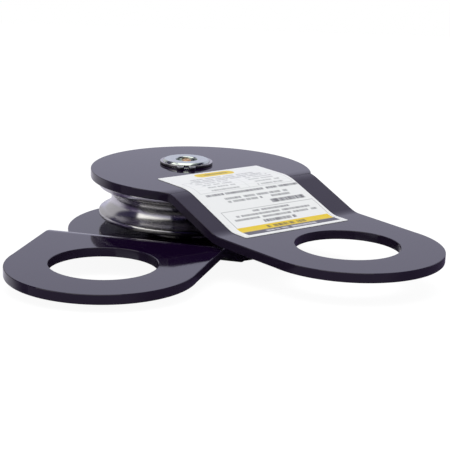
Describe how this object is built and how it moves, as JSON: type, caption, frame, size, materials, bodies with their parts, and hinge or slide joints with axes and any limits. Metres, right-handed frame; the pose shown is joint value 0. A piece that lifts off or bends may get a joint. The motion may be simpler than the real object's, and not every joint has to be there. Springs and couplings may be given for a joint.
{
  "type": "swing-cheek single sheave block",
  "caption": "Swing-cheek snatch block: a grooved sheave on a greased axle between joggled cheek plates with round shackle eyes, fanned open.",
  "frame": {"origin": "on the axle's axis, in the middle plane of the sheave, half way between the cheek plates", "axes": "+Z along the axle towards the grease fitting, parallel to the swing axis of both cheeks; at rest the two shackle eyes fan out towards -Y, the upper cheek's eye at -54.3 degrees and the lower cheek's eye at -106.1 degrees from +X"},
  "size_m": [0.2234, 0.2422, 0.047],
  "materials": {
    "black_coat": "gloss powder coat",
    "turned_steel": "turned, bright",
    "bronze": "plain bearing bronze",
    "zinc_plate": "bright zinc plate",
    "ring_steel": "zinc plated spring steel",
    "copper_brass": "copper-coloured brass",
    "ball_steel": "polished",
    "spring_steel": "drawn wire",
    "label_film": "printed vinyl"
  },
  "bodies": {
    "axle_set": {"axle_pin": "zinc_plate", "upper_retaining_ring": "ring_steel", "lower_retaining_ring": "ring_steel", "upper_thrust_washer": "bronze", "lower_thrust_washer": "bronze", "grease_fitting_body": "copper_brass", "grease_fitting_spring": "spring_steel"},
    "sheave_wheel": {"sheave": "turned_steel", "sheave_bushing": "bronze"},
    "upper_cheek": {"upper_cheek_plate": "black_coat", "capacity_label": "label_film"},
    "lower_cheek": {"lower_cheek_plate": "black_coat"},
    "check_ball": {"grease_fitting_ball": "ball_steel"}
  },
  "joints": [
    {"name": "sheave_spin", "type": "hinge", "parent": "axle_set", "child": "sheave_wheel", "pos_m": [0, 0, 0], "axis": [0, 0, 1], "continuous": true},
    {"name": "upper_cheek_swing", "type": "hinge", "parent": "axle_set", "child": "upper_cheek", "pos_m": [0, 0, 0.018], "axis": [0, 0, 1], "continuous": true},
    {"name": "lower_cheek_swing", "type": "hinge", "parent": "axle_set", "child": "lower_cheek", "pos_m": [0, 0, -0.018], "axis": [0, 0, 1], "continuous": true},
    {"name": "check_ball_lift", "type": "slide", "parent": "axle_set", "child": "check_ball", "axis": [0, 0, -1], "range_m": [0, 0.0005], "deforming": ["grease_fitting_spring"]}
  ]
}
